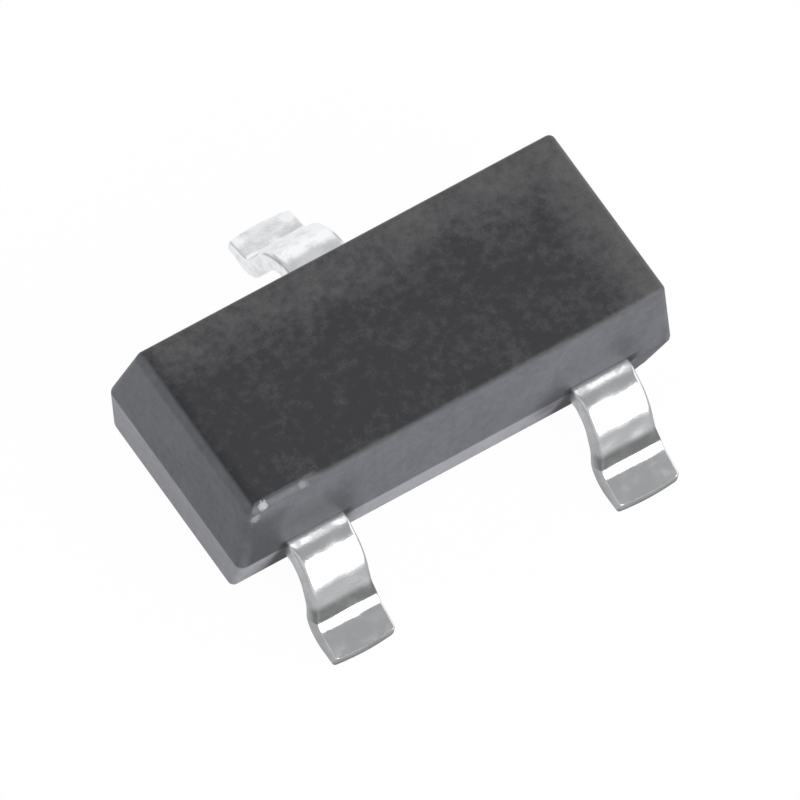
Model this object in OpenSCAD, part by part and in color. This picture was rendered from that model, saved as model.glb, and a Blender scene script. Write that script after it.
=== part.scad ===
// SOT-23 transistor: a moulded plastic body on three folded leads, with the die and its bond wires inside.
// X runs along the body, -Y is the side with two leads, Z points up from the board. Sizes are in millimetres.

/* [Body] */
// Length of the moulding at its parting line
body_length = 2.90; // [2.80:0.01:3.04]
// Width of the moulding at its parting line
body_width = 1.31; // [1.20:0.01:1.40]
// Height of the top face above the board
body_top = 0.935; // [0.88:0.005:1.12]
// Gap between the board and the underside of the moulding
standoff = 0.055; // [0.01:0.005:0.10]
// Height of the parting line above the board
parting_height = 0.44; // [0.38:0.01:0.50]
// Height of the narrow upright land along the parting line
parting_land = 0.016; // [0.008:0.002:0.03]

/* [Draft and edges] */
// Draft of the end walls above the parting line, in degrees
upper_end_draft = 7.5; // [4:0.5:14]
// Draft of the long walls above the parting line, in degrees
upper_side_draft = 10; // [4:0.5:14]
// Draft of the end walls below the parting line, in degrees
lower_end_draft = 6; // [4:0.5:12]
// Draft of the long walls below the parting line, in degrees
lower_side_draft = 11.5; // [4:0.5:14]
// Radius of the four upright corners at the parting line
corner_radius = 0.05; // [0.03:0.005:0.10]
// Radius along the edges of the top face
top_edge_radius = 0.04; // [0.02:0.005:0.08]
// Radius along the edges of the underside
bottom_edge_radius = 0.11; // [0.04:0.005:0.13]

/* [Leads] */
// Thickness of the sheet that the leads are stamped from
lead_thickness = 0.115; // [0.09:0.005:0.15]
// Width of each lead
lead_width = 0.39; // [0.32:0.01:0.46]
// Distance of the outer leads from the middle one, along the body
lead_pitch = 0.95; // [0.90:0.01:1.00]
// Distance from toe to toe across the part
lead_span = 2.50; // [2.42:0.01:2.64]
// Height of the underside of a lead where it leaves the body
lead_exit_height = 0.365; // [0.32:0.005:0.40]
// Inside radius of the bend at the shoulder
shoulder_bend_radius = 0.185; // [0.12:0.005:0.21]
// Inside radius of the bend at the heel
heel_bend_radius = 0.13; // [0.08:0.005:0.15]
// Angle of the leg below the horizontal, in degrees
leg_angle = 60; // [58:1:76]
// Flat length of the foot on the board
foot_length = 0.12; // [0.10:0.005:0.14]
// Radius of the toe's corners, seen from above
toe_corner_radius = 0.04; // [0.02:0.005:0.08]

/* [Die pad and bond posts] */
// Length of the die pad, along the body
pad_length = 0.96; // [0.80:0.01:1.04]
// Width of the die pad, across the body
pad_width = 0.56; // [0.48:0.01:0.64]
// Distance of the die pad's middle from the body's middle, towards its own lead
pad_offset = 0.06; // [0.00:0.01:0.10]
// Gap between the die pad and each bond post
pad_gap = 0.14; // [0.10:0.01:0.20]
// Depth of a bond post, across the body
post_depth = 0.32; // [0.24:0.01:0.36]
// Plastic between a bond post and the long wall at the parting line
post_cover = 0.17; // [0.12:0.01:0.22]
// How far a bond post reaches past the outer edge of its lead
post_overhang = 0.04; // [0.02:0.005:0.08]
// Chamfer on the corners of the die pad and the bond posts
frame_chamfer = 0.05; // [0.02:0.005:0.08]

/* [Die and bond wires] */
// Side of the square silicon die
die_size = 0.36; // [0.28:0.01:0.42]
// Thickness of the die
die_thickness = 0.15; // [0.10:0.01:0.18]
// Thickness of the bonding layer under the die
attach_thickness = 0.02; // [0.012:0.002:0.03]
// How far the bonding layer shows round the die
attach_margin = 0.03; // [0.015:0.005:0.05]
// Diameter of a bond wire
wire_diameter = 0.025; // [0.018:0.001:0.03]
// Diameter of the ball that bonds a wire to the die
ball_diameter = 0.064; // [0.05:0.002:0.08]
// Height of that ball
ball_height = 0.02; // [0.014:0.002:0.03]
// Rise of a wire's loop above its ball
loop_rise = 0.09; // [0.06:0.01:0.11]
// Distance from the edge of a bond post to the end of the wire's stitch
stitch_inset = 0.16; // [0.14:0.01:0.22]
// Length of the flat stitch that bonds a wire to its post
stitch_length = 0.05; // [0.03:0.005:0.07]
// Thickness of the stitch, as a share of the wire's diameter
stitch_squash = 0.4; // [0.3:0.05:0.6]

/* [Hidden] */

// The moulding at its parting line
half_length = body_length / 2;
half_width = body_width / 2;
land_low = parting_height - parting_land / 2;
land_high = parting_height + parting_land / 2;
corner_steps = 32;

// Levels and reach of a lead
lead_top = lead_exit_height + lead_thickness;
toe_y = lead_span / 2;
foot_start = toe_y - foot_length;
bend_steps = 10;
toe_steps = 5;

// The two bends share the drop from the shoulder to the foot, and shrink together where it is too small
bend_turn = 1 - cos(leg_angle);
bend_room = lead_exit_height / bend_turn - lead_thickness;
bend_fit = min(1, bend_room / (shoulder_bend_radius + heel_bend_radius));
shoulder_radius = shoulder_bend_radius * bend_fit;
heel_radius = heel_bend_radius * bend_fit;
bend_radii = shoulder_radius + heel_radius + lead_thickness;
leg_drop = lead_exit_height - bend_radii * bend_turn;
shoulder_end = foot_start - bend_radii * sin(leg_angle) - leg_drop / tan(leg_angle);

// Places inside the moulding
pad_front = pad_offset - pad_width / 2;
pad_back = pad_offset + pad_width / 2;
post_inner_x = pad_length / 2 + pad_gap;
post_outer_x = lead_pitch + lead_width / 2 + post_overhang;
post_front = half_width - post_cover;
post_back = post_front - post_depth;
attach_top = lead_top + attach_thickness;
die_top = attach_top + die_thickness;

// Bond wires
wire_sides = 8;
loop_steps = 12;
ball_place = die_size / 4;
loop_pull = loop_rise * 2.2;
stitch_half_height = wire_diameter * stitch_squash / 2;
stitch_half_width = wire_diameter * 0.8;

mould_grey = [0.24, 0.24, 0.25];
tin = [0.78, 0.79, 0.80];
silicon = [0.36, 0.39, 0.46];
silver_epoxy = [0.62, 0.62, 0.64];
gold = [0.90, 0.72, 0.32];

// Points of an arc round a centre, from one angle to another
function arc(centre, radius, from, to, steps) =
    [for (i = [0 : steps]) let (a = from + (to - from) * i / steps) centre + radius * [cos(a), sin(a)]];

// How far a drafted wall has drawn in at the middle of an edge of the given radius
function edge_inset(rise, radius, draft) = (rise - radius) * tan(draft) + radius / cos(draft);

// Side outline of a lead from a given start, y outwards and z up: flat strip, two bends and the foot
function lead_profile(start) =
    let (shoulder = [shoulder_end, lead_exit_height - shoulder_radius])
    let (heel = [foot_start, lead_thickness + heel_radius])
    concat(
        [[start, lead_exit_height], [start, lead_top]],
        arc(shoulder, shoulder_radius + lead_thickness, 90, 90 - leg_angle, bend_steps),
        arc(heel, heel_radius, 270 - leg_angle, 270, bend_steps),
        [[toe_y, lead_thickness], [toe_y, 0]],
        arc(heel, heel_radius + lead_thickness, 270, 270 - leg_angle, bend_steps),
        arc(shoulder, shoulder_radius, 90 - leg_angle, 90, bend_steps));

// Outline of a toe seen from above, from the right of the lead at x round to its left
function toe_outline(x) =
    let (dx = lead_width / 2 - toe_corner_radius)
    let (y = toe_y - toe_corner_radius)
    concat(
        arc([x + dx, y], toe_corner_radius, 0, 90, toe_steps),
        arc([x - dx, y], toe_corner_radius, 90, 180, toe_steps));

// Outline of the middle lead seen from above: the die pad, its neck and the toe
function pad_outline() =
    let (x = pad_length / 2)
    let (c = frame_chamfer)
    concat(
        [[-x, pad_back - c], [-x, pad_front + c], [c - x, pad_front], [x - c, pad_front], [x, pad_front + c]],
        [[x, pad_back - c], [x - c, pad_back], [lead_width / 2, pad_back]],
        toe_outline(0),
        [[-lead_width / 2, pad_back], [c - x, pad_back]]);

// Outline of an outer lead seen from above, y outwards: the bond post and the toe, at x below 0 for side -1
function post_outline(side) =
    let (c = frame_chamfer)
    let (right = concat(
        [[post_inner_x, post_front - c], [post_inner_x, post_back + c], [post_inner_x + c, post_back]],
        [[post_outer_x - c, post_back], [post_outer_x, post_back + c], [post_outer_x, post_front - c]],
        [[post_outer_x - c, post_front], [lead_pitch + lead_width / 2, post_front]],
        toe_outline(lead_pitch),
        [[lead_pitch - lead_width / 2, post_front], [post_inner_x + c, post_front]]))
    [for (p = right) [side * p[0], p[1]]];

// A folded lead: its side outline carried across, cut to its outline from above
module folded_lead(start, outline) {
    reach = 2 * post_outer_x + lead_width;
    intersection() {
        rotate([90, 0, 90])
            linear_extrude(height = reach, center = true)
                polygon(lead_profile(start));
        linear_extrude(height = lead_top)
            polygon(outline);
    }
}

// An outer lead on the front side, to the left for side -1 and to the right for side 1
module front_lead(side) {
    mirror([0, 1, 0])
        folded_lead(post_back, post_outline(side));
}

// A ball for a rounded edge, whose flat-topped facets reach the full radius
module edge_ball(radius) {
    sphere(r = radius / cos(180 / corner_steps), $fn = corner_steps);
}

// Something at each of the four corners of a rectangle at a height
module at_corners(x, y, z) {
    for (sx = [-1, 1], sy = [-1, 1])
        translate([sx * x, sy * y, z])
            children();
}

// The drafted shell: a rounded top, a land along the parting line and a rounded underside
module shell() {
    upper_rise = body_top - land_high;
    lower_rise = land_low - standoff;
    hull() {
        at_corners(half_length - edge_inset(upper_rise, top_edge_radius, upper_end_draft),
                   half_width - edge_inset(upper_rise, top_edge_radius, upper_side_draft),
                   body_top - top_edge_radius)
            edge_ball(top_edge_radius);
        at_corners(half_length - corner_radius, half_width - corner_radius, land_low)
            cylinder(r = corner_radius, h = parting_land, $fn = corner_steps);
        at_corners(half_length - edge_inset(lower_rise, bottom_edge_radius, lower_end_draft),
                   half_width - edge_inset(lower_rise, bottom_edge_radius, lower_side_draft),
                   standoff + bottom_edge_radius)
            edge_ball(bottom_edge_radius);
    }
}

// A point of the cubic curve that a wire's loop follows
function loop_point(a, b, c, d, t) =
    let (s = 1 - t)
    s * s * s * a + 3 * s * s * t * b + 3 * s * t * t * c + t * t * t * d;

// A closed tube through rings, each a centre, a direction, a half width and a half height
module ring_tube(rings, across) {
    swell = 1 / cos(180 / wire_sides);
    count = len(rings);
    points = [for (ring = rings, k = [0 : wire_sides - 1])
        let (a = 360 * (k + 0.5) / wire_sides)
        let (up = cross(ring[1], across))
        ring[0] + swell * (ring[2] * cos(a) * across + ring[3] * sin(a) * up)];
    sides = [for (i = [0 : count - 2], k = [0 : wire_sides - 1])
        let (k2 = (k + 1) % wire_sides)
        [i * wire_sides + k, i * wire_sides + k2, (i + 1) * wire_sides + k2, (i + 1) * wire_sides + k]];
    first = [for (k = [wire_sides - 1 : -1 : 0]) k];
    last = [for (k = [0 : wire_sides - 1]) (count - 1) * wire_sides + k];
    polyhedron(points = points, faces = concat([first], sides, [last]), convexity = 4);
}

// A bond wire from its ball on the die to its stitch on the left post for side -1, the right one for side 1
module bond_wire(side) {
    r = wire_diameter / 2;
    foot = [side * ball_place, pad_offset, die_top];
    post_middle = (post_front + post_back) / 2;
    stitch = [side * (post_inner_x + stitch_inset), -post_middle, lead_top + stitch_half_height];
    flat = [stitch[0] - foot[0], stitch[1] - foot[1], 0];
    ahead = flat / norm(flat);
    across = cross([0, 0, 1], ahead);
    neck = foot + [0, 0, ball_height];
    landing = stitch - stitch_length * ahead;
    pull_up = neck + [0, 0, loop_pull];
    pull_back = landing - norm(flat) / 2 * ahead;
    ball = [for (z = [0, ball_height]) [foot + [0, 0, z], [0, 0, 1], ball_diameter / 2, ball_diameter / 2]];
    loop = [for (i = [0 : loop_steps])
        let (t = i / loop_steps)
        let (before = loop_point(neck, pull_up, pull_back, landing, max(0, t - 0.01)))
        let (after = loop_point(neck, pull_up, pull_back, landing, min(1, t + 0.01)))
        let (squash = max(0, (t - 0.8) / 0.2))
        [loop_point(neck, pull_up, pull_back, landing, t),
         i == 0 ? [0, 0, 1] : i == loop_steps ? ahead : (after - before) / norm(after - before),
         r + (stitch_half_width - r) * squash,
         r + (stitch_half_height - r) * squash]];
    end = [[stitch, ahead, stitch_half_width, stitch_half_height]];
    ring_tube(concat(ball, loop, end), across);
}

module moulded_body() {
    color(mould_grey)
        difference() {
            shell();
            base_lead();
            emitter_lead();
            collector_lead();
            die_attach();
            silicon_die();
            base_wire();
            emitter_wire();
        }
}

module base_lead() {
    color(tin)
        front_lead(-1);
}

module emitter_lead() {
    color(tin)
        front_lead(1);
}

module collector_lead() {
    color(tin)
        folded_lead(pad_front, pad_outline());
}

module die_attach() {
    side = die_size + 2 * attach_margin;
    color(silver_epoxy)
        translate([-side / 2, pad_offset - side / 2, lead_top])
            cube([side, side, attach_thickness]);
}

module silicon_die() {
    color(silicon)
        translate([-die_size / 2, pad_offset - die_size / 2, attach_top])
            cube([die_size, die_size, die_thickness]);
}

module base_wire() {
    color(gold)
        bond_wire(-1);
}

module emitter_wire() {
    color(gold)
        bond_wire(1);
}

moulded_body();
base_lead();
emitter_lead();
collector_lead();
silicon_die();
die_attach();
base_wire();
emitter_wire();
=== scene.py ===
"""The dressed SOT-23 transistor: a matte moulded body on bright folded leads, on a plain white stage."""

import math
from typing import NamedTuple

import bpy
import numpy as np
from bpy.props import FloatProperty, FloatVectorProperty, PointerProperty
from bpy.types import Operator, Panel, PropertyGroup
from mathutils import Matrix, Vector


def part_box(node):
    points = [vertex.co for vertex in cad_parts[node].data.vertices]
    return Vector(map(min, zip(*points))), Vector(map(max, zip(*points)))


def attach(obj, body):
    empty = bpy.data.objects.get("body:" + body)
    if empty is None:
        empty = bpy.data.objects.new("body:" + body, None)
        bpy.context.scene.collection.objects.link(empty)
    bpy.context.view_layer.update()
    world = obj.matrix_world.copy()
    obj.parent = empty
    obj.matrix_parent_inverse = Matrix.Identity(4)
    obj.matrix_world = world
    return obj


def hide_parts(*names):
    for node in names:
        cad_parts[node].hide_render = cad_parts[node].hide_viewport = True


bl_info = {
    "name": "SOT-23 transistor",
    "version": (1, 0, 0),
    "blender": (4, 5, 0),
    "location": "View3D > Sidebar > Transistor",
    "description": "Builds the dressed transistor around its packed solids",
    "category": "Object",
}

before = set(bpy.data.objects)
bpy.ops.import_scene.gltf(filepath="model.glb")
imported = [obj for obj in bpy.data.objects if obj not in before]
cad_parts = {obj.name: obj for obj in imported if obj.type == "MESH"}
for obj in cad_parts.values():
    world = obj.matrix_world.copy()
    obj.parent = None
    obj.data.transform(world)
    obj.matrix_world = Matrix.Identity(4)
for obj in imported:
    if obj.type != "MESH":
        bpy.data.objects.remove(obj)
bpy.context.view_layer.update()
BODY_LOW, BODY_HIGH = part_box("moulded_body")

MM = 0.001
ROOT = "root"
HALF_LENGTH = (BODY_HIGH.x - BODY_LOW.x) / 2
HALF_WIDTH = (BODY_HIGH.y - BODY_LOW.y) / 2
FRONT, BACK = -1, 1


def mm(*numbers):
    """Numbers of millimetres, in metres."""
    return tuple(number * MM for number in numbers)


class Nick(NamedTuple):
    """A nick in the moulding: its place, radius and depth, and how fresh its break looks, from 0 to 1."""

    place: tuple
    radius: float
    depth: float
    fresh: float


# Marks of use on the moulding: nicks near its front left corner and the way to a worn low corner; also the
# middle of a painted shadow beside the right front lead
NICKS = (
    Nick(mm(-1.295, -0.562, 0.905), 0.036 * MM, 0.009 * MM, 1.0),
    Nick(mm(-1.352, -0.587, 0.842), 0.038 * MM, 0.006 * MM, 0.5),
    Nick(mm(-1.033, -0.561, 0.905), 0.034 * MM, 0.003 * MM, 0.28),
    Nick(mm(-0.995, -0.571, 0.897), 0.022 * MM, 0.007 * MM, 0.0),
)
LEAD_SHADOW_SPOT = mm(0.66, -0.64, 0.42)
WORN_CORNER = Vector((0.237, -0.932, -0.264)).normalized()


# Settings that a user would change


def length(name, description, default):
    """A length setting, given in metres."""
    return FloatProperty(name=name, description=description, default=default, unit="LENGTH", precision=6)


def angle(name, description, degrees):
    """An angle setting, given in degrees."""
    return FloatProperty(name=name, description=description, default=math.radians(degrees), subtype="ANGLE")


def colour(name, description, default):
    """A linear colour setting."""
    return FloatVectorProperty(
        name=name, description=description, default=default, subtype="COLOR", min=0, max=1)


def fraction(name, description, default):
    """A setting from 0 to 1."""
    return FloatProperty(name=name, description=description, default=default, min=0, max=1, subtype="FACTOR")


def brightness(name, description, default):
    """A brightness setting, where 1 is white."""
    return FloatProperty(name=name, description=description, default=default, min=0)


def direction(name, description, default):
    """A direction setting, from the part outwards."""
    return FloatVectorProperty(name=name, description=description, default=default, subtype="DIRECTION")


class BodySizes(PropertyGroup):
    """Sizes of the moulding."""

    parting_height: length("Parting height", "Height of the parting line above the board", 0.44 * MM)
    parting_land: length("Parting land", "Height of the upright land along the parting line", 0.016 * MM)
    upper_end_draft: angle("Upper end draft", "Draft of the end walls above the parting line", 7.5)
    upper_side_draft: angle("Upper side draft", "Draft of the long walls above the parting line", 10)
    lower_end_draft: angle("Lower end draft", "Draft of the end walls below the parting line", 6)
    lower_side_draft: angle("Lower side draft", "Draft of the long walls below the parting line", 11.5)
    corner_radius: length("Corner radius", "Radius of the upright corners at the parting line", 0.05 * MM)
    top_edge: length("Top edge", "Radius along the edges of the top face", 0.04 * MM)
    bottom_edge: length("Bottom edge", "Radius along the edges of the underside", 0.11 * MM)
    low_corner: length("Low corner", "Radius of the upright corners at the underside", 0.03 * MM)
    left_bevel: length("Left bevel", "Width of the flat along the left edge of the top face", 0.046 * MM)
    low_wear: length("Low wear", "Depth worn off the low front right corner", 0.018 * MM)
    front_wear: length("Front wear", "Width of the worn flat at the left of the front edge", 0.038 * MM)


class LeadSizes(PropertyGroup):
    """Sizes of the folded leads."""

    width: length("Width", "Width of each lead, down to the leg", 0.388 * MM)
    foot_width: length("Foot width", "Width of each foot", 0.408 * MM)
    thickness: length("Thickness", "Thickness of the sheet", 0.115 * MM)
    pitch: length("Pitch", "Distance of the outer leads from the middle one", 0.95 * MM)
    exit_height: length("Exit height", "Height of a lead's underside where it leaves the body", 0.365 * MM)
    shoulder_bend: length("Shoulder bend", "Inside radius of the bend at the shoulder", 0.228 * MM)
    heel_bend: length("Heel bend", "Inside radius of the bend at the heel", 0.11 * MM)
    leg_angle: angle("Leg angle", "Angle of the leg below the horizontal", 58)
    foot: length("Foot", "Flat length of the foot on the board", 0.1206 * MM)
    back_shoulder: length("Back shoulder", "Inside radius of the back lead's shoulder bend", 0.215 * MM)
    back_heel: length("Back heel", "Inside radius of the back lead's heel bend", 0.05 * MM)
    back_angle: angle("Back angle", "Angle of the back lead's leg below the horizontal", 75)
    back_foot: length("Back foot", "Flat length of the back lead's foot", 0.146 * MM)
    foot_angle: angle("Foot angle", "Slope of the foot's upper face, down to its toe", 17)
    toe_corner: length("Toe corner", "Radius of the toe's corners, seen from above", 0.012 * MM)
    toe_bulge: length("Toe bulge", "How far the toe's middle stands out past its corners", 0.012 * MM)
    edge: length("Edge", "Radius of the stamped edges at the body and along the foot", 0.012 * MM)
    bend_edge: length("Bend edge", "Radius of the stamped edges over the shoulder and the leg", 0.030 * MM)
    # The dark plating that this length places is painted shade in the fold of the heel
    fold: length("Fold", "How far out from the heel's bend the fold's dark plating starts", 0.056 * MM)
    wave: length("Wave", "Height of the slow waves in the plating", 0.0020 * MM)
    post_end: length("Post end", "Distance of a bond post's outer edge from the body's middle", 0.485 * MM)
    pad_end: length("Pad end", "Distance of the die pad's outer edge from the body's middle", 0.34 * MM)
    chamfer: length("Chamfer", "Chamfer on the corners of the pad and the posts", 0.05 * MM)


class Colours(PropertyGroup):
    """Colours of the finishes."""

    mould: colour("Mould compound", "Top of the moulding", (0.0215, 0.0222, 0.0272))
    mould_pale: colour("Mould compound, pale", "Paler parts of the top", (0.098, 0.095, 0.098))
    # Painted light: the walls are painted paler than the top, standing in for the light that falls on them
    mould_wall_lit: colour("Mould compound, walls", "Drawn walls of the moulding", (0.140, 0.147, 0.164))
    # Painted light: below the parting line the walls are painted paler still, for the white floor's light on
    # them
    mould_low_floor_lit: colour("Mould compound, low walls", "Walls below the parting line", (0.360, 0.363, 0.398))
    chip: colour("Chip", "Fresh break in the moulding", (0.42, 0.44, 0.46))
    tin: colour("Tin", "Plating on the leads", (0.88, 0.89, 0.91))
    tin_dull: colour("Tin, dull", "Dull blotches in the plating", (0.74, 0.75, 0.77))
    # Painted shade: this dark tin marks the fold of a front heel, a front toe's end and the back lead's dark
    # marks
    tin_shade: colour("Tin, fold", "Plating creased dark in the fold of a heel", (0.36, 0.37, 0.37))
    silicon: colour("Silicon", "The die", (0.11, 0.13, 0.18))
    silicon_film: colour("Silicon, film", "Cloudy film on the die", (0.18, 0.16, 0.24))
    epoxy: colour("Silver epoxy", "Bonding layer under the die", (0.40, 0.40, 0.42))
    epoxy_flake: colour("Silver epoxy, flakes", "Silver flakes in the bonding layer", (0.75, 0.75, 0.77))
    gold: colour("Gold", "Bond wires", (0.83, 0.55, 0.16))
    gold_mark: colour("Gold, marks", "Drawing marks on the bond wires", (0.90, 0.66, 0.26))
    floor: colour("Floor", "The stage's floor", (0.95, 0.95, 0.95))


class MouldFinish(PropertyGroup):
    """How strong the marks in the moulding's finish and the painted shade on its walls are."""

    pale: fraction("Pale", "How pale the middle of the top is", 0.06)
    pale_right: fraction("Pale right", "How much paler the top is along its right rim", 0.72)
    pale_back: fraction("Pale back", "How much paler the top is along its back rim", 0.58)
    pits: fraction("Pits", "Contrast of the fine pits", 0.8)
    clouds: fraction("Clouds", "Contrast of the small clouds", 1.0)
    patches: fraction("Patches", "Contrast of the large patches", 0.9)
    pit_height: fraction("Pit height", "Height of the pits against that of the patches", 0.6)
    wall_dark: fraction("Wall dark", "Share of the top's colour in the walls", 0.12)
    wall_mottle: fraction("Wall mottle", "Share of the mottle on the walls", 0.5)
    low_mottle: fraction("Low mottle", "Share of the mottle below the parting line", 0.3)
    roughness: fraction("Roughness", "Roughness of the moulding", 0.46)
    pit_roughness: fraction("Pit roughness", "Roughness that the pits add", 0.12)
    lead_rim: fraction("Lead rim", "Shade on the walls round each lead", 0.9)
    over_lead: fraction("Over lead", "Shade on the walls over each lead", 0.55)
    less_at_right: fraction("Less at right", "How much less shade there is over the right lead", 0.25)
    left_corner: fraction("Left corner", "Shade at the front left corner", 0.6)
    right_end: fraction("Right end", "Shade low at the right of the front wall", 0.75)
    # Painted shadow of the right front lead on the front wall
    lead_shadow_spot: fraction("Smudge", "Shade of the smudge on the front wall", 0.6)


class StageSettings(PropertyGroup):
    """Camera and light."""

    azimuth: angle("Azimuth", "Turn of the camera round the part", -46.57)
    elevation: angle("Elevation", "Height of the camera above the board", 60.56)
    roll: angle("Roll", "Roll of the camera about its own axis", 14.40)
    distance: length("Distance", "Distance from the camera to its aim", 150 * MM)
    view_width: length("View width", "Width of the view at the aim", 4.400 * MM)
    aim: FloatVectorProperty(
        name="Aim", description="Point that the camera looks at", default=mm(-0.0664, -0.197, 0.3963),
        subtype="TRANSLATION", precision=6)
    surround: brightness("Surround", "Brightness of the surround, to the front and the back", 0.66)
    right_side: brightness("Right side", "Brightness of the surround to the right", 1.2)
    left_side: brightness("Left side", "Brightness of the surround to the left", 0.44)
    ceiling: brightness("Ceiling", "Brightness of the dark patch overhead", 0.35)
    ceiling_way: direction("Ceiling way", "Direction of the dark patch overhead", (0.30, -0.12, 0.945))
    softbox: brightness("Softbox", "Brightness that the softbox adds", 3.5)
    softbox_way: direction("Softbox way", "Direction of the softbox", (0.357, -0.763, 0.539))
    skylight: brightness("Skylight", "Brightness that the small light overhead adds", 1.05)
    skylight_way: direction("Skylight way", "Direction of the small light overhead", (0.357, 0.20, 0.912))
    back_light: brightness("Back light", "Brightness that the low light behind adds", 0.40)
    back_way: direction("Back way", "Direction of the low light behind", (0.357, 0.90, 0.25))
    floor_front: brightness("Floor, front", "How bright the floor in front looks in the metal", 0.39)
    floor_back: brightness("Floor, back", "How bright the floor behind looks in the metal", 1.0)
    floor_plain: fraction("Floor, plain", "Share of plain white in the floor that the camera sees", 0.98)
    floor_mirrored: fraction("Floor, mirrored", "Share of plain light in the floor that the metal sees", 0.85)
    floor_radius: length("Floor radius", "Radius of the floor", 80 * MM)


class TransistorSettings(PropertyGroup):
    """All the settings of the part and its stage."""

    body: PointerProperty(type=BodySizes)
    lead: PointerProperty(type=LeadSizes)
    colours: PointerProperty(type=Colours)
    mould: PointerProperty(type=MouldFinish)
    stage: PointerProperty(type=StageSettings)


# Shader maths

NOISE_ROUGHNESS, NOISE_MIDDLE = 0.6, 0.5


class Value:
    """A shader socket that takes part in Python expressions: each operation on it adds one Math node."""

    def __init__(self, tree, socket):
        self.tree = tree
        self.socket = socket

    def math(self, operation, *values):
        """A Math node in this value's tree, on the values given."""
        return self.tree.add("ShaderNodeMath", {"operation": operation}, dict(enumerate(values)))

    def __add__(self, other):
        return self.math("ADD", self, other)

    def __sub__(self, other):
        return self.math("SUBTRACT", self, other)

    def __rsub__(self, other):
        return self.math("SUBTRACT", other, self)

    def __mul__(self, other):
        return self.math("MULTIPLY", self, other)

    __radd__ = __add__
    __rmul__ = __mul__

    def between(self, low, high):
        """0 at low, 1 at high and a smooth step between them."""
        inputs = {"Value": self, "From Min": low, "From Max": high}
        return self.tree.add("ShaderNodeMapRange", {"interpolation_type": "SMOOTHSTEP"}, inputs)


class Tree:
    """The node tree of a material or of the world, emptied, with one method that adds any node to it."""

    def __init__(self, owner):
        owner.use_nodes = True
        self.owner = owner
        self.nodes = owner.node_tree.nodes
        self.links = owner.node_tree.links
        self.nodes.clear()

    def add(self, kind, settings=None, inputs=None, output=0):
        """A node: its settings come first, then its sockets' values or links. Gives one of its outputs."""
        node = self.nodes.new(kind)
        for name, value in (settings or {}).items():
            setattr(node, name, value)
        for key, value in (inputs or {}).items():
            if isinstance(value, Value):
                self.links.new(value.socket, node.inputs[key])
            else:
                node.inputs[key].default_value = value
        if not node.outputs:
            return None
        return Value(self, node.outputs[output])

    def place(self):
        """Object coordinates, in metres."""
        return self.add("ShaderNodeTexCoord", output="Object")

    def axis(self, vector, name):
        """One part of a vector: X, Y or Z."""
        return self.add("ShaderNodeSeparateXYZ", None, {"Vector": vector}, name)

    def axes(self, vector):
        """The X, Y and Z parts of a vector."""
        return tuple(self.axis(vector, name) for name in "XYZ")

    def distance(self, place, centre):
        """Distance of a place from a fixed centre, in metres."""
        return self.add("ShaderNodeVectorMath", {"operation": "DISTANCE"}, {0: place, 1: centre}, "Value")

    def noise(self, grain, detail=2.0):
        """Soft noise whose grains are about this size, in metres."""
        inputs = {"Vector": self.place(), "Scale": 1 / grain, "Detail": detail, "Roughness": NOISE_ROUGHNESS}
        return self.add("ShaderNodeTexNoise", {"noise_dimensions": "3D"}, inputs, "Fac")

    def attribute(self, name):
        """A number stored on the piece's points."""
        return self.add("ShaderNodeAttribute", {"attribute_name": name}, output="Fac")

    def blend(self, share, first, second):
        """A colour between two colours. A Mix node's colour sockets come after its number and vector ones."""
        return self.add("ShaderNodeMix", {"data_type": "RGBA"}, {0: share, 6: first, 7: second}, 2)

    def bump(self, height, depth):
        """A normal roughened by a height of 0 to 1 that stands for a depth in metres."""
        return self.add("ShaderNodeBump", None, {"Height": height, "Distance": depth, "Strength": 1.0})

    def surface(self, **sockets):
        """The principled surface and the material's output. Gives the finished material."""
        named = {key.replace("_", " ").title().replace("Ior", "IOR"): value for key, value in sockets.items()}
        shader = self.add("ShaderNodeBsdfPrincipled", None, named, "BSDF")
        self.add("ShaderNodeOutputMaterial", None, {"Surface": shader})
        return self.owner


def rgba(value):
    """A linear colour with full alpha."""
    return (*value[:3], 1.0)


BLACK, WHITE = rgba((0.0, 0.0, 0.0)), rgba((1.0, 1.0, 1.0))


# Finishes

# Where each shade on the moulding comes in: the place that has none of it, then the place that has all of it
FRONT_WALL, BACK_HALF = mm(-0.50, -0.56), mm(-0.1, 0.1)
ABOVE_PARTING, BELOW_PARTING = mm(0.434, 0.450), mm(0.450, 0.434)
BELOW_TOP_EDGE = mm(0.932, 0.907)
PALE_RIGHT, PALE_BACK = mm(1.0, 1.36), mm(0.12, 0.50)
ROUND_LEAD = mm(0.11, 0.01)
BESIDE_LEAD, OVER_LEAD, OVER_RIGHT_LEAD = mm(0.38, 0.14), mm(0.84, 0.58), mm(0.0, 0.3)
LEFT_CORNER, OFF_LEFT_ROUND, UNDER_LEFT_EDGE = mm(-1.04, -1.22), mm(-1.43, -1.36), mm(0.86, 0.76)
RIGHT_END, UNDER_RIGHT_WALL = mm(1.10, 1.22), mm(0.460, 0.434)
LEAD_SHADOW_REACH = mm(0.21, 0.05)

# How much sooner the shade round a lead ends above it than beside it, and how much paler the top gets along X
RIM_SQUEEZE = 4.0
PALER_PER_METRE = 0.07 / MM

# How ragged a fresh chip's outline is and where its even middle ends, as shares of its radius
CHIP_RAGGED, CHIP_CORE = 1.6, 0.45

# Grain sizes of the finishes, depths of the fine ones, and the noise levels between which the clear ones show
PIT, CLOUD, PATCH = mm(0.012, 0.05, 0.20)
BLOTCH, FROST = mm(0.09, 0.012)
FILM, FLAKE, DRAWING_MARK = mm(0.08, 0.008, 0.004)
PIT_DEPTH, FROST_DEPTH = mm(0.0016, 0.0005)
BLOTCH_LEVELS, FLAKE_LEVELS = (0.42, 0.68), (0.45, 0.6)

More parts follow.
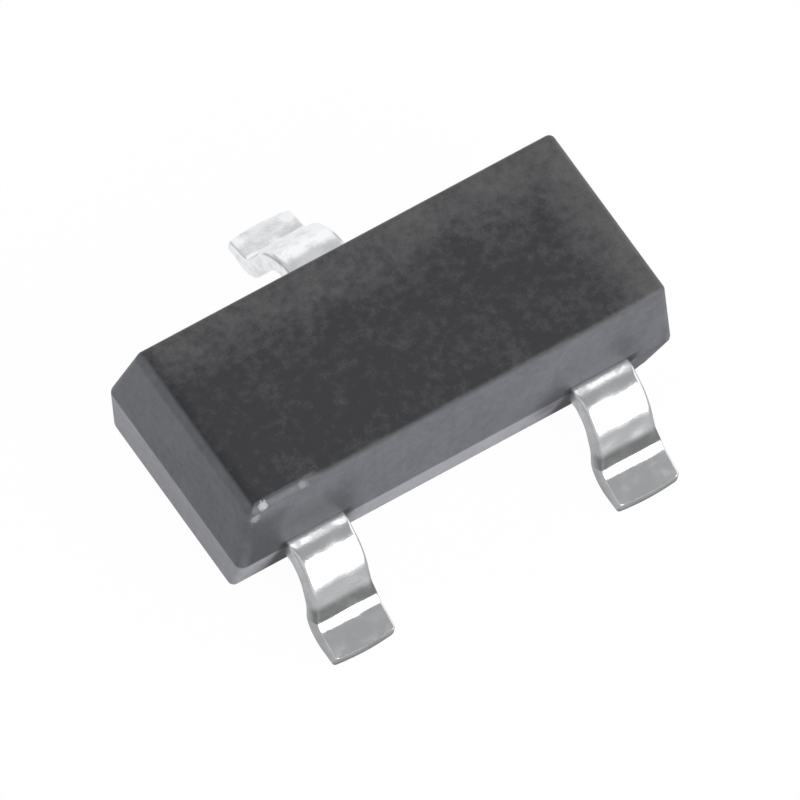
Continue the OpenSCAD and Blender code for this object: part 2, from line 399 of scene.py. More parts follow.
# Roughness of each finish, then what its texture adds or takes off
TIN_ROUGHNESS, BLOTCH_ROUGHNESS, FROST_ROUGHNESS = 0.13, 0.10, 0.06
SILICON_ROUGHNESS, FILM_ROUGHNESS = 0.12, 0.10
EPOXY_ROUGHNESS, FLAKE_POLISH = 0.55, 0.25
GOLD_ROUGHNESS, MARK_ROUGHNESS = 0.20, 0.12
FILM_TINT, MARK_TINT = 0.5, 0.4
SILICON_METALLIC = 0.5
MOULD_IOR = 1.5


def lead_offset(x, y, pitch):
    """Distance along X from the middle of the nearest lead, in metres."""
    across = x.math("ABSOLUTE", x)
    front = across - pitch
    front = front.math("ABSOLUTE", front)
    return front + y.between(*BACK_HALF) * (across - front)


def wall_shade(tree, place, lead, finish):
    """How dark the walls are, from 0 to 1.

    Painted shade: round and over each lead, at the front left corner, low at the right and beside the right
    lead.
    """
    x, y, z = tree.axes(place)
    offset = lead_offset(x, y, lead.pitch)
    above = (z - (lead.exit_height + lead.thickness)) * RIM_SQUEEZE
    rim = x.math("MAXIMUM", offset - lead.width / 2, above).between(*ROUND_LEAD) * finish.lead_rim
    over = offset.between(*BESIDE_LEAD) * z.between(*OVER_LEAD)
    over = over * (finish.over_lead - x.between(*OVER_RIGHT_LEAD) * finish.less_at_right)
    front = y.between(*FRONT_WALL)
    corner = front * x.between(*LEFT_CORNER) * x.between(*OFF_LEFT_ROUND)
    corner = corner * z.between(*UNDER_LEFT_EDGE) * z.between(*ABOVE_PARTING) * finish.left_corner
    right = front * x.between(*RIGHT_END) * z.between(*UNDER_RIGHT_WALL) * finish.right_end
    # Painted shadow of the right front lead, on the wall beside it
    lead_shadow_spot = tree.distance(place, LEAD_SHADOW_SPOT).between(*LEAD_SHADOW_REACH) * finish.lead_shadow_spot
    shade = rim
    for other in (over, corner, right, lead_shadow_spot):
        shade = shade.math("MAXIMUM", shade, other)
    return shade


def fresh_chips(tree, place, uneven):
    """How fresh the break is in each nick, from 0 to 1: a ball round its place with an uneven outline."""
    fresh = None
    for nick in NICKS:
        gap = tree.distance(place, nick.place) + (uneven - NOISE_MIDDLE) * (CHIP_RAGGED * nick.radius)
        spot = gap.between(nick.radius, CHIP_CORE * nick.radius) * nick.fresh
        fresh = spot if fresh is None else spot.math("MAXIMUM", spot, fresh)
    return fresh


def mould_compound(settings):
    """Matte epoxy: a dark cloudy top, paler at its right and back rims, fine pits and chips; its walls are
    painted paler as painted light, palest below the parting line, with painted shade on them.
    """
    colours, finish = settings.colours, settings.mould
    dark, pale = rgba(colours.mould), rgba(colours.mould_pale)
    tree = Tree(bpy.data.materials.new("mould_compound"))
    pits = tree.noise(PIT, detail=3.0)
    clouds = tree.noise(CLOUD, detail=3.0)
    patches = tree.noise(PATCH, detail=4.0)
    mottle = (pits - NOISE_MIDDLE) * finish.pits + (clouds - NOISE_MIDDLE) * finish.clouds
    mottle = mottle + (patches - NOISE_MIDDLE) * finish.patches
    place = tree.place()
    x, y, z = tree.axes(place)
    right = x.between(*PALE_RIGHT) * finish.pale_right
    back = y.between(*PALE_BACK) * finish.pale_back
    rim = right.math("MAXIMUM", right, back)
    top = tree.blend(finish.pale + x * PALER_PER_METRE + rim + mottle, dark, pale)
    # The walls carry painted light: paler than the top, and palest below the parting line
    upper = tree.blend(finish.wall_dark + mottle * finish.wall_mottle, rgba(colours.mould_wall_lit), dark)
    lower = tree.blend(finish.wall_dark + mottle * finish.low_mottle, rgba(colours.mould_low_floor_lit), dark)
    wall = tree.blend(z.between(*BELOW_PARTING), upper, lower)
    # Painted shade on the walls, round and over the leads and in other spots
    wall = tree.blend(wall_shade(tree, place, settings.lead, finish), wall, dark)
    ground = tree.blend(z.between(*BELOW_TOP_EDGE), top, wall)
    base = tree.blend(fresh_chips(tree, place, pits), ground, rgba(colours.chip))
    normal = tree.bump(pits * finish.pit_height + patches, PIT_DEPTH)
    roughness = finish.roughness + pits * finish.pit_roughness
    return tree.surface(base_color=base, roughness=roughness, normal=normal, ior=MOULD_IOR)


def tin_plate(colours):
    """Bright tin: a mirror broken by dull blotches and a fine frost, with painted shade in the fold of the
    heel and at the toe's end, and dark marks, one a painted reflection, on the back lead's shoulder.
    """
    tree = Tree(bpy.data.materials.new("tin_plate"))
    blotch = tree.noise(BLOTCH, detail=3.0).between(*BLOTCH_LEVELS)
    frost = tree.noise(FROST)
    sheet = tree.blend(blotch, rgba(colours.tin), rgba(colours.tin_dull))
    # The fold attribute holds painted shade and a painted dark reflection on the leads
    base = tree.blend(tree.attribute("fold"), sheet, rgba(colours.tin_shade))
    roughness = TIN_ROUGHNESS + blotch * BLOTCH_ROUGHNESS + frost * FROST_ROUGHNESS
    normal = tree.bump(frost, FROST_DEPTH)
    return tree.surface(base_color=base, metallic=1.0, roughness=roughness, normal=normal)


def polished_silicon(colours):
    """Dark polished silicon with faint cloudy film colours."""
    tree = Tree(bpy.data.materials.new("polished_silicon"))
    film = tree.noise(FILM)
    base = tree.blend(film * FILM_TINT, rgba(colours.silicon), rgba(colours.silicon_film))
    roughness = SILICON_ROUGHNESS + film * FILM_ROUGHNESS
    return tree.surface(base_color=base, metallic=SILICON_METALLIC, roughness=roughness)


def silver_epoxy(colours):
    """Silver flakes in a pale paste."""
    tree = Tree(bpy.data.materials.new("silver_epoxy"))
    flakes = tree.noise(FLAKE).between(*FLAKE_LEVELS)
    base = tree.blend(flakes, rgba(colours.epoxy), rgba(colours.epoxy_flake))
    return tree.surface(base_color=base, metallic=flakes, roughness=EPOXY_ROUGHNESS - flakes * FLAKE_POLISH)


def drawn_gold(colours):
    """Gold wire with fine drawing marks."""
    tree = Tree(bpy.data.materials.new("drawn_gold"))
    marks = tree.noise(DRAWING_MARK)
    base = tree.blend(marks * MARK_TINT, rgba(colours.gold), rgba(colours.gold_mark))
    return tree.surface(base_color=base, metallic=1.0, roughness=GOLD_ROUGHNESS + marks * MARK_ROUGHNESS)


# Meshes

# The waves of a ripple: how long each is, how fast their directions rise and how they shift
GOLDEN_ANGLE = math.pi * (3 - math.sqrt(5))
WAVE_STRETCHES = (0.70, 0.85, 1.00, 1.15, 1.30, 1.45)
WAVE_RISE, WAVE_SHIFT = 1.7, 1.3


def make_piece(name, points, faces, material, attributes=None):
    """A mesh object from points and faces, with its place in its mesh and numbers stored on its points.

    Its quads are smooth, and its end faces, which have more corners, are flat.
    """
    mesh = bpy.data.meshes.new(name)
    mesh.from_pydata(points.tolist(), [], faces)
    for key, values in (attributes or {}).items():
        layer = mesh.attributes.new(key, "FLOAT", "POINT")
        layer.data.foreach_set("value", values.astype(np.float32))
    corners = np.empty(len(mesh.polygons), np.int32)
    mesh.polygons.foreach_get("loop_total", corners)
    mesh.polygons.foreach_set("use_smooth", corners == 4)
    mesh.materials.append(material)
    mesh.validate()
    mesh.update()
    piece = bpy.data.objects.new(name, mesh)
    bpy.context.scene.collection.objects.link(piece)
    return piece


def smooth_step(value, low, high):
    """0 below low, 1 above high and a smooth step between them, on whole arrays."""
    t = np.clip((value - low) / (high - low), 0, 1)
    return t * t * (3 - 2 * t)


def round_off(value, start, radius):
    """How far a quarter round of a radius has dropped, from its start on."""
    along = np.clip(value - start, 0, radius)
    return radius - np.sqrt(radius ** 2 - along ** 2)


def ripple(points, wavelength, seed):
    """Slow uneven waves from -1 to 1: a sum of sines along directions spread by the golden angle."""
    total = np.zeros(len(points))
    for i, stretch in enumerate(WAVE_STRETCHES):
        turn = GOLDEN_ANGLE * (i + seed)
        along = np.array([math.cos(turn), math.sin(turn), math.sin(WAVE_RISE * turn)])
        total += np.sin(points @ along * (2 * math.pi / wavelength) * stretch + WAVE_SHIFT * turn)
    return total / len(WAVE_STRETCHES)


def band_faces(rows, columns):
    """Quads between neighbouring rows of a grid of points whose columns close into a ring."""
    row = np.arange(rows - 1)[:, None] * columns
    column = np.arange(columns)[None, :]
    right = (column + 1) % columns
    quads = np.stack([row + column, row + right, row + columns + right, row + columns + column], -1)
    return quads.reshape(-1, 4)


class RingPlan:
    """Where the points of a rounded rectangle lie, for any half sizes and corner radius.

    A point is fixed + corner_sign * (half size - radius) + radius * arc direction. Points along the straight
    sides keep a fixed place, so the columns of a stack of rings stay upright. The ring starts at the middle
    of the front-left corner and runs front, right, back, left.
    """

    def __init__(self, xs, ys, corner_steps):
        half = corner_steps // 2
        turn = np.linspace(0, math.pi / 4, half + 1)
        sides = [
            self.side(xs, (0, -1), turn, -3 * math.pi / 4, (-1, -1), (1, -1)),
            self.side(ys, (1, 0), turn, -math.pi / 4, (1, -1), (1, 1)),
            self.side(xs[::-1], (0, 1), turn, math.pi / 4, (1, 1), (-1, 1)),
            self.side(ys[::-1], (-1, 0), turn, 3 * math.pi / 4, (-1, 1), (-1, -1)),
        ]
        self.x_count = len(sides[0][0])
        self.y_count = len(sides[1][0])
        self.fixed, self.sign, self.arc = (
            np.concatenate([side[part][:-1] for side in sides]) for part in range(3))
        self.count = len(self.fixed)

    @staticmethod
    def side(places, outward, turn, start, first_corner, last_corner):
        """One side: half a corner, the straight points, half a corner."""
        out = np.array(outward, float)
        along = np.array([1.0, 0.0]) if out[0] == 0 else np.array([0.0, 1.0])
        angles = np.concatenate([start + turn, start + math.pi / 4 + turn])
        arcs = np.stack([np.cos(angles), np.sin(angles)], -1)
        n = len(turn)
        fixed = np.concatenate([np.zeros((n, 2)), places[:, None] * along, np.zeros((n, 2))])
        sign = np.concatenate([np.tile(first_corner, (n, 1)), np.tile(out, (len(places), 1)),
                               np.tile(last_corner, (n, 1))]).astype(float)
        arc = np.concatenate([arcs[:n], np.tile(out, (len(places), 1)), arcs[n:]])
        return fixed, sign, arc

    def rings(self, half_x, half_y, radius, z):
        """The stack of rings, one for each entry of the arrays, as an array of rings by points by 3."""
        half = np.stack([half_x, half_y], -1)[:, None, :]
        r = radius[:, None, None]
        xy = self.fixed + self.sign * (half - r) + r * self.arc
        return np.concatenate([xy, np.broadcast_to(z[:, None, None], (*xy.shape[:2], 1))], -1)

    def sides_of(self, ring):
        """The ring's front, right, back and left sides, each from low to high along its axis."""
        nx, ny = self.x_count - 1, self.y_count - 1
        closed = np.concatenate([ring, ring[:1]])
        front = closed[:nx + 1]
        right = closed[nx:nx + ny + 1]
        back = closed[nx + ny:2 * nx + ny + 1][::-1]
        left = closed[2 * nx + ny:][::-1]
        return front, right, back, left


def filled_ring(plan, ring):
    """A patch over a ring: each point blends the opposite sides both ways, less the blend of the corners."""
    front, right, back, left = plan.sides_of(ring)
    u = np.linspace(0, 1, plan.x_count)[:, None, None]
    v = np.linspace(0, 1, plan.y_count)[None, :, None]
    across = (1 - v) * front[:, None] + v * back[:, None]
    along = (1 - u) * left[None] + u * right[None]
    corners = ((1 - u) * (1 - v) * front[0] + u * (1 - v) * front[-1]
               + (1 - u) * v * back[0] + u * v * back[-1])
    return across + along - corners


def capped_stack(plan, rings):
    """Points and faces of a closed stack of rings, its first and last ring filled by patches."""
    levels, count = rings.shape[:2]
    points = [rings.reshape(-1, 3)]
    faces = [band_faces(levels, count)]
    ids = np.arange(levels * count).reshape(levels, count)
    start = levels * count
    for level, upward in ((levels - 1, True), (0, False)):
        patch = filled_ring(plan, rings[level])
        inner = patch[1:-1, 1:-1]
        names = np.zeros(patch.shape[:2], int)
        names[1:-1, 1:-1] = start + np.arange(inner.shape[0] * inner.shape[1]).reshape(inner.shape[:2])
        front, right, back, left = plan.sides_of(ids[level])
        names[:, 0], names[:, -1], names[0, :], names[-1, :] = front, back, left, right
        quads = np.stack([names[:-1, :-1], names[1:, :-1], names[1:, 1:], names[:-1, 1:]], -1).reshape(-1, 4)
        faces.append(quads if upward else quads[:, ::-1])
        points.append(inner.reshape(-1, 3))
        start += inner.shape[0] * inner.shape[1]
    return np.concatenate(points), np.concatenate(faces)


# The moulding

# Rings and columns of the moulding: the left of its front is finer, for the nicks
RING_STEP, SMALLEST_CORNER = mm(0.014, 0.010)
EDGE_RINGS, CORNER_STEPS = 10, 12
STRAIGHT_X, STRAIGHT_Y, FINE_END = mm(1.28, 0.46, -0.92)
FINE_COLUMNS, PLAIN_COLUMNS, SIDE_COLUMNS = 61, 121, 73

# Wear: where the worn front edge ends, where the worn corner starts, and the shape of a nick
WORN_EDGE_END, WORN_CORNER_START = mm(-1.02, -0.86), mm(1.12, 1.30)
NICK_INWARD = np.array([0.25, 0.75, -0.6])
NICK_RAGGED, NICK_SLOPE, NICK_SEED = 0.3, 0.8, 3
NICK_WAVE = 0.05 * MM


def parting_edges(body):
    """Heights of the lower and the upper edge of the land along the parting line."""
    half = body.parting_land / 2
    return body.parting_height - half, body.parting_height + half


def half_sizes(z, half, body, upper_draft, lower_draft):
    """Half size of the moulding at each height, across its ends or its sides.

    Each half of the mould is a wall that draws in by its draft, then a quarter round that the wall and the
    flat face both touch.
    """
    lower, upper = parting_edges(body)
    halves = (
        (z - upper, upper_draft, body.top_edge, BODY_HIGH.z - upper),
        (lower - z, lower_draft, body.bottom_edge, lower - BODY_LOW.z),
    )
    size = np.full_like(z, half)
    for rise, draft, r, total in halves:
        centre = half - (total - r) * math.tan(draft) - r / math.cos(draft)
        above = rise - (total - r)
        wall = half - rise * math.tan(draft)
        round_edge = centre + np.sqrt(np.clip(r * r - above * above, 0, None))
        size = np.where(rise > 0, np.where(above > r * math.sin(draft), round_edge, wall), size)
    return size


def corner_radii(z, body):
    """Corner radius at each height: the low corner's, then that of the parting line, then the top edge's."""
    top = BODY_HIGH.z - body.top_edge
    heights = [BODY_LOW.z, body.parting_height, top]
    wall = np.interp(z, heights, [body.low_corner, body.corner_radius, body.top_edge])
    over = np.sqrt(np.clip(body.top_edge ** 2 - np.clip(z - top, 0, None) ** 2, 0, None))
    return np.maximum(np.where(z > top, over, wall), SMALLEST_CORNER)


def body_levels(body):
    """Heights of the rings: even steps up the walls, closer ones round the edges and the parting land."""
    edge_turn = np.linspace(0, math.pi / 2, EDGE_RINGS)
    bottom = BODY_LOW.z + body.bottom_edge * (1 - np.sin(edge_turn[::-1]))
    top = BODY_HIGH.z - body.top_edge * (1 - np.sin(edge_turn))
    low, high = parting_edges(body)
    lower = np.linspace(bottom[-1], low, int((low - bottom[-1]) / RING_STEP))[1:]
    upper = np.linspace(high, top[0], int((top[0] - high) / RING_STEP))[:-1]
    return np.concatenate([bottom, lower, upper, top])


def top_corner(half, draft, body):
    """Half size at which a drafted wall would meet the top face if the edge were sharp."""
    wall_start = parting_edges(body)[1]
    return half - (BODY_HIGH.z - wall_start) * math.tan(draft)


def flatten_edge(points, outward, edge, width, share):
    """Cuts a sharp top edge back to a flat at 45 degrees: what stands past its plane is drawn on to it.

    The edge is a distance along the outward axis, and the flat starts its width inside it. A share below 1
    leaves the edge less worn.
    """
    normal = (np.array([*outward, 0.0]) + [0.0, 0.0, 1.0]) / math.sqrt(2)
    plane = (edge - width + BODY_HIGH.z) / math.sqrt(2)
    past = np.clip(points @ normal - plane, 0, None) * share
    return points - past[:, None] * normal


def nick_edge(points):
    """Dents the moulding at each nick: a smooth hollow with an uneven outline, pushed towards the middle."""
    uneven = 1 + NICK_RAGGED * ripple(points, NICK_WAVE, NICK_SEED)
    for nick in NICKS:
        gap = np.linalg.norm(points - nick.place, axis=1) / nick.radius
        points = points + smooth_step(uneven - gap, 0, NICK_SLOPE)[:, None] * nick.depth * NICK_INWARD
    return points


def wear_corner(points, body):
    """Draws the low front right corner back on to a plane, its wear inside the corner's furthest point."""
    outward = np.array(WORN_CORNER)
    along = points @ outward
    low_right = smooth_step(points[:, 0], *WORN_CORNER_START) * (points[:, 2] < body.parting_height)
    past = np.clip(along - (along[low_right > 0].max() - body.low_wear), 0, None) * low_right
    return points - past[:, None] * outward


def build_body(body, material):
    """The moulding: rings up its height, filled above and below, then bevelled, worn and nicked."""
    fine = np.linspace(-STRAIGHT_X, FINE_END, FINE_COLUMNS)
    plain = np.linspace(FINE_END, STRAIGHT_X, PLAIN_COLUMNS)[1:]
    sides = np.linspace(-STRAIGHT_Y, STRAIGHT_Y, SIDE_COLUMNS)
    plan = RingPlan(np.concatenate([fine, plain]), sides, CORNER_STEPS)
    z = body_levels(body)
    half_x = half_sizes(z, HALF_LENGTH, body, body.upper_end_draft, body.lower_end_draft)
    half_y = half_sizes(z, HALF_WIDTH, body, body.upper_side_draft, body.lower_side_draft)
    points, faces = capped_stack(plan, plan.rings(half_x, half_y, corner_radii(z, body), z))
    left_edge = top_corner(HALF_LENGTH, body.upper_end_draft, body)
    front_edge = top_corner(HALF_WIDTH, body.upper_side_draft, body)
    points = flatten_edge(points, (-1.0, 0.0), left_edge, body.left_bevel, 1.0)
    worn = 1 - smooth_step(points[:, 0], *WORN_EDGE_END)
    points = flatten_edge(points, (0.0, -1.0), front_edge, body.front_wear, worn)
    points = wear_corner(nick_edge(points), body)
    return make_piece("body_moulding", points, faces.tolist(), material)


# The leads

# Points along a lead, with closer ones before its shoulder, and round its section
BEND_POINTS, LEG_POINTS, FLAT_POINTS, NEAR_POINTS, TOE_POINTS = 61, 26, 50, 13, 14
ACROSS_POINTS, EDGE_POINTS = 25, 6
NEAR_SHOULDER = 0.04 * MM

# Where the plating's waves and the rounder edges come in outside the body, and the painted contact shade at
# the toe's end
PLATING_WAVE, TOE_SHADE = mm(0.17, 0.012)
WAVES_START, ROUND_EDGE_START = mm(0.02, 0.16), mm(0.02, 0.09)

# Where the foot spreads, as shares of the lead's fall, and the painted shade in the fold ends, as shares of
# the leg's angle
FOOT_SPREAD, FOLD_END = (0.58, 0.86), (0.88, 0.97)

# The back lead's dark marks, a painted dark reflection at the left and a dark spot at the right: how near the
# upper face, then where the left one and the right one lie
DARK_MARK_FACE = mm(0.034, 0.045)
LEFT_DARK_EDGE, LEFT_DARK_START, LEFT_DARK_HEIGHT = mm(0.178, 0.190), mm(0.78, 0.82), mm(0.28, 0.34)
RIGHT_DARK_EDGE, RIGHT_DARK_START, RIGHT_DARK_END = mm(0.165, 0.185), mm(0.74, 0.77), mm(0.84, 0.81)


class Bends(NamedTuple):
    """The bends of one lead: inside radii, angle of the leg and length of the foot."""

    shoulder: float
    heel: float
    leg_angle: float
    foot: float


def lead_path(lead, bends, start, toe):
    """Middle line of a lead from a start inside the body to its toe, as place outwards, height and slope.

    A flat run, an arc down, a straight leg at the leg's angle, an arc back and the flat foot. Steps close in
    before the shoulder and at the toe, where its corners round.
    """
    half = lead.thickness / 2
    slope = bends.leg_angle
    shoulder, heel = bends.shoulder + half, bends.heel + half
    drop = lead.exit_height - (shoulder + heel) * (1 - math.cos(slope))
    foot_start = toe - bends.foot
    shoulder_end = foot_start - (shoulder + heel) * math.sin(slope) - drop / math.tan(slope)
    leg_start = shoulder_end + shoulder * math.sin(slope)
    top = lead.exit_height + half
    leg_top = top - shoulder * (1 - math.cos(slope))
    near = shoulder_end - NEAR_SHOULDER
    inside = np.linspace(start, near, FLAT_POINTS)[:-1]
    flat = np.concatenate([inside, np.linspace(near, shoulder_end, NEAR_POINTS)[:-1]])
    turn = np.linspace(0, slope, BEND_POINTS)
    back = turn[::-1]
    down = np.linspace(0, drop, LEG_POINTS)[1:-1]
    toe_turn = np.linspace(0, math.pi / 2, TOE_POINTS)[1:]
    rounded = toe - lead.toe_corner + lead.toe_corner * np.sin(toe_turn)
    foot = np.concatenate([np.linspace(foot_start, toe - lead.toe_corner, TOE_POINTS)[1:], rounded])
    place = np.concatenate([
        flat, shoulder_end + shoulder * np.sin(turn), leg_start + down / math.tan(slope),
        foot_start - heel * np.sin(back), foot])
    height = np.concatenate([
        np.full(len(flat), top), top - shoulder * (1 - np.cos(turn)), leg_top - down,
        half + heel * (1 - np.cos(back)), np.full(len(foot), half)])
    slopes = np.concatenate([
        np.zeros(len(flat)), turn, np.full(len(down), slope), back, np.zeros(len(foot))])
    return place, height, slopes


def strip_section(across, edge_steps):
    """Outline of a strip's section, anticlockwise: its sides as signs, and each corner's arc directions."""
    turn = np.linspace(0, math.pi / 2, edge_steps)
    flat = np.linspace(-1, 1, across)
    sign, arc = [], []
    for (sx, sz), quarter in (((1, 1), 0), ((-1, 1), 1), ((-1, -1), 2), ((1, -1), -1)):
        angles = turn + quarter * math.pi / 2
        sign.append(np.tile([sx, sz], (edge_steps, 1)))
        arc.append(np.stack([np.cos(angles), np.sin(angles)], -1))
        if sx == sz:
            run = (flat[::-1] if sz > 0 else flat)[1:-1]
            sign.append(np.stack([run, np.full(len(run), sz)], -1))
            arc.append(np.tile([0.0, sz], (len(run), 1)))
    return np.concatenate(sign).astype(float), np.concatenate(arc)


def lead_sides(lead, middle, place, box, start, wide_end):
    """Left and right side of a lead at each place along it: the pad or post inside the body, then the strip.

    The pad or post is as wide as the node's box, with chamfered corners.
    """
    low, high = box
    c = lead.chamfer
    inset = np.clip(c - (place - start), 0, c) + np.clip(place - (wide_end - c), 0, c)
    left = np.where(place < wide_end, low.x + inset, middle - lead.width / 2)
    right = np.where(place < wide_end, high.x - inset, middle + lead.width / 2)
    return left, right


def plating(lead, place, height, across, through, seed):
    """How far the plating stands out of the sheet: slow waves over the part outside the body."""
    along = np.cumsum(np.hypot(np.gradient(place), np.gradient(height)))[:, None]
    spread = np.stack([across, np.broadcast_to(along, across.shape), through], -1).reshape(-1, 3)
    wave = lead.wave * ripple(spread, PLATING_WAVE, seed).reshape(across.shape) * np.sign(through)
    return wave * smooth_step(place - HALF_WIDTH, *WAVES_START)[:, None]


def foot_fall(lead, bends, place, height, slope, toe):
    """How far the foot's upper face lies below the sheet: it leaves the heel's curve as a tangent."""
    tilt, half = lead.foot_angle, lead.thickness / 2
    start = toe - bends.foot - bends.heel * math.sin(tilt)
    top = lead.thickness + bends.heel * (1 - math.cos(tilt))
    out, up = place + half * np.sin(slope), height + half * np.cos(slope)
    return np.where(out > start, np.clip(up - top + (out - start) * math.tan(tilt), 0, None), 0)


def heel_fold_shade(lead, bends, place, slope, toe):
    """Painted shade in the fold over the heel: 1 there and 0 elsewhere; it comes in slowly down the leg and
    ends in the bend.
    """
    out = place + lead.thickness / 2 * np.sin(slope)
    bend = toe - bends.foot - bends.heel * math.sin(bends.leg_angle)
    ends = np.where(out < bend, 1.0, smooth_step(slope / bends.leg_angle, *FOLD_END))
    return smooth_step(bend - out, lead.fold, lead.fold / 2) * ends


def shoulder_dark_marks(place, height, across, through):
    """1 in two dark marks on the back lead's shoulder: a painted dark reflection along its left edge and a
    dark spot on its right.
    """
    upper = smooth_step(through, *DARK_MARK_FACE)
    long = smooth_step(place, *LEFT_DARK_START) * smooth_step(height, *LEFT_DARK_HEIGHT)
    short = smooth_step(place, *RIGHT_DARK_START) * smooth_step(place, *RIGHT_DARK_END)
    left = smooth_step(-across, *LEFT_DARK_EDGE)
    right = smooth_step(across, *RIGHT_DARK_EDGE)
    return upper * np.maximum(left * long[:, None], right * short[:, None])


def lead_bends(lead, side):
    """The bends of a front lead or of the back one."""
    if side == BACK:
        return Bends(lead.back_shoulder, lead.back_heel, lead.back_angle, lead.back_foot)
    return Bends(lead.shoulder_bend, lead.heel_bend, lead.leg_angle, lead.foot)


def build_lead(name, lead, material, node, middle, side):
    """A folded lead: a strip's section carried along its path, wider at its inner end, its toe rounded.

    A point is the path's point plus its place across the strip along X and through the strip along the path's
    normal. The foot's upper face slopes down to its toe.
    """
    low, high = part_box(node)
    start, toe, wide_end = (low.y, high.y, lead.pad_end) if side == BACK else (-high.y, -low.y, lead.post_end)
    bends = lead_bends(lead, side)
    place, height, slope = lead_path(lead, bends, start, toe)
    left, right = lead_sides(lead, middle, place, (low, high), start, wide_end)
    corner = round_off(place, toe - lead.toe_corner, lead.toe_corner)
    fallen = (lead.exit_height + lead.thickness / 2 - height) / lead.exit_height
    low_down = smooth_step(fallen, *FOOT_SPREAD)
    spread = (lead.foot_width - lead.width) / 2 * low_down
    middle_x, half_x = (left + right) / 2, (right - left) / 2 + spread - corner
    sign, arc = strip_section(ACROSS_POINTS, EDGE_POINTS)
    bent = smooth_step(place - HALF_WIDTH, *ROUND_EDGE_START) * (1 - low_down)
    edge = (lead.edge + (lead.bend_edge - lead.edge) * bent)[:, None]
    across = middle_x[:, None] + sign[:, 0] * (half_x[:, None] - edge) + arc[:, 0] * edge
    through = sign[:, 1] * (lead.thickness / 2 - edge) + arc[:, 1] * edge
    through = through + plating(lead, place, height, across, through, 1 + middle / MM)
    on_foot = np.clip((place - (toe - bends.foot)) / bends.foot, 0, 1)[:, None]
    bulge = lead.toe_bulge * ((across - middle) / (lead.width / 2)) ** 2 * on_foot ** 2
    upper = (sign[:, 1] > 0)[None, :]
    fall = foot_fall(lead, bends, place, height, slope, toe)[:, None] * upper
    y = side * (place[:, None] + through * np.sin(slope)[:, None] - bulge)
    z = np.maximum(height[:, None] + through * np.cos(slope)[:, None] - fall, 0.0)
    if side == BACK:
        # Dark marks on the back lead's shoulder, the left one a painted reflection
        fold = shoulder_dark_marks(place, height, across, through)
    else:
        # Painted shade: at the toe's end on all but the upper face, which takes the heel fold's painted shade
        toe_shade = smooth_step(place, toe - TOE_SHADE, toe)
        fold = np.where(upper, heel_fold_shade(lead, bends, place, slope, toe)[:, None], toe_shade[:, None])
    points = np.stack([across, y, z], -1)
    rows, columns = points.shape[:2]
    first, last = list(range(columns)), list(range((rows - 1) * columns, rows * columns))
    faces = band_faces(rows, columns)
    faces = faces if side == FRONT else faces[:, ::-1]
    ends = [first[::-1], last] if side == FRONT else [first, last[::-1]]
    return make_piece(name, points.reshape(-1, 3), faces.tolist() + ends, material, {"fold": fold.ravel()})


# The stage

# Where the floor turns from its front shade to its back one, and where each side's own light comes in
FLOOR_POINTS = 96
FLOOR_BEHIND = mm(-1.2, 1.0)
TO_THE_RIGHT, TO_THE_LEFT = (0.5, 0.9), (-0.3, -0.9)

# Outer and inner angle of the dark patch and of each light, in degrees
CEILING_CONE, SOFTBOX_CONE, SKYLIGHT_CONE, BACK_LIGHT_CONE = (36, 14), (27, 19), (13, 5), (24, 10)

# The camera's sensor in millimetres, and the range that it sees in metres
SENSOR_WIDTH = 36
NEAREST, FURTHEST = 1 * MM, 1.0


def make_floor(settings):
    """A round white floor under the feet. It looks white, and still takes a part of the part's shadow.

    The metal sees it greyer in front than behind.
    """
    stage = settings.stage
    turn = np.linspace(0, 2 * math.pi, FLOOR_POINTS, endpoint=False)
    rim = np.stack([np.cos(turn), np.sin(turn), 0 * turn], -1) * stage.floor_radius
    material = bpy.data.materials.new("white_floor")
    material.cycles.emission_sampling = "NONE"
    tree = Tree(material)
    matte = tree.add("ShaderNodeBsdfDiffuse", None, {"Color": rgba(settings.colours.floor)})
    camera, glossy, through = (tree.add("ShaderNodeLightPath", output=name)
                               for name in ("Is Camera Ray", "Is Glossy Ray", "Is Transmission Ray"))
    behind = tree.axis(tree.place(), "Y").between(*FLOOR_BEHIND)
    mirrored = stage.floor_front + behind * (stage.floor_back - stage.floor_front)
    colour_shown = tree.blend(mirrored.math("MAXIMUM", mirrored, camera), BLACK, WHITE)
    glow = tree.add("ShaderNodeEmission", None, {"Color": colour_shown, "Strength": 1.0})
    share = camera * stage.floor_plain + glossy.math("MAXIMUM", glossy, through) * stage.floor_mirrored
    shown = tree.add("ShaderNodeMixShader", None, {0: share, 1: matte, 2: glow})
    tree.add("ShaderNodeOutputMaterial", None, {"Surface": shown})
    make_piece("floor", rim, [list(range(len(rim)))], material)


def cone(tree, way, centre, outer, inner):
    """1 within the inner angle of a direction, 0 past the outer one, in degrees."""
    inputs = {0: way, 1: Vector(centre).normalized()}
    along = tree.add("ShaderNodeVectorMath", {"operation": "DOT_PRODUCT"}, inputs, "Value")
    return along.between(math.cos(math.radians(outer)), math.cos(math.radians(inner)))


